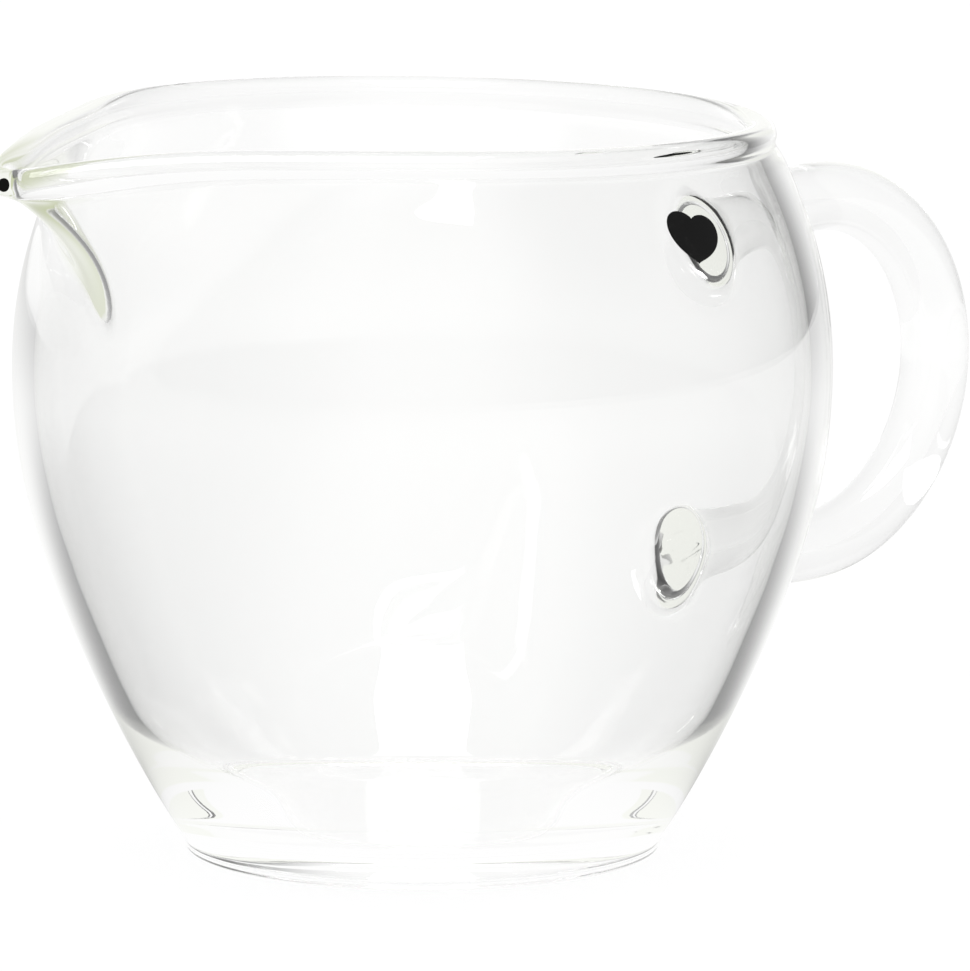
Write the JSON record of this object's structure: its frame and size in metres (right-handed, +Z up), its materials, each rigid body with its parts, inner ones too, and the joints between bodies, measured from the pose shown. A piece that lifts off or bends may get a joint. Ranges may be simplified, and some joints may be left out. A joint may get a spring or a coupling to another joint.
{
  "type": "glass_serving_jug",
  "caption": "Small clear glass serving jug with a round belly, a pulled pouring lip, a beaded rim, a flat disc foot and a solid looped handle",
  "frame": {"origin": "centre of the foot's flat underside, on the bowl's axis, where the jug stands", "axes": "+Z up along the bowl's axis; +X toward the handle, so the pouring lip points to -X; +Y completes a right-handed frame and is square to the plane of symmetry"},
  "size_m": [0.136, 0.0852, 0.078],
  "materials": {
    "clear_glass": "fire-polished, clear and colourless, with a faint olive tint in the thick edges"
  },
  "bodies": {
    "root": {"jug": "clear_glass"}
  },
  "joints": []
}
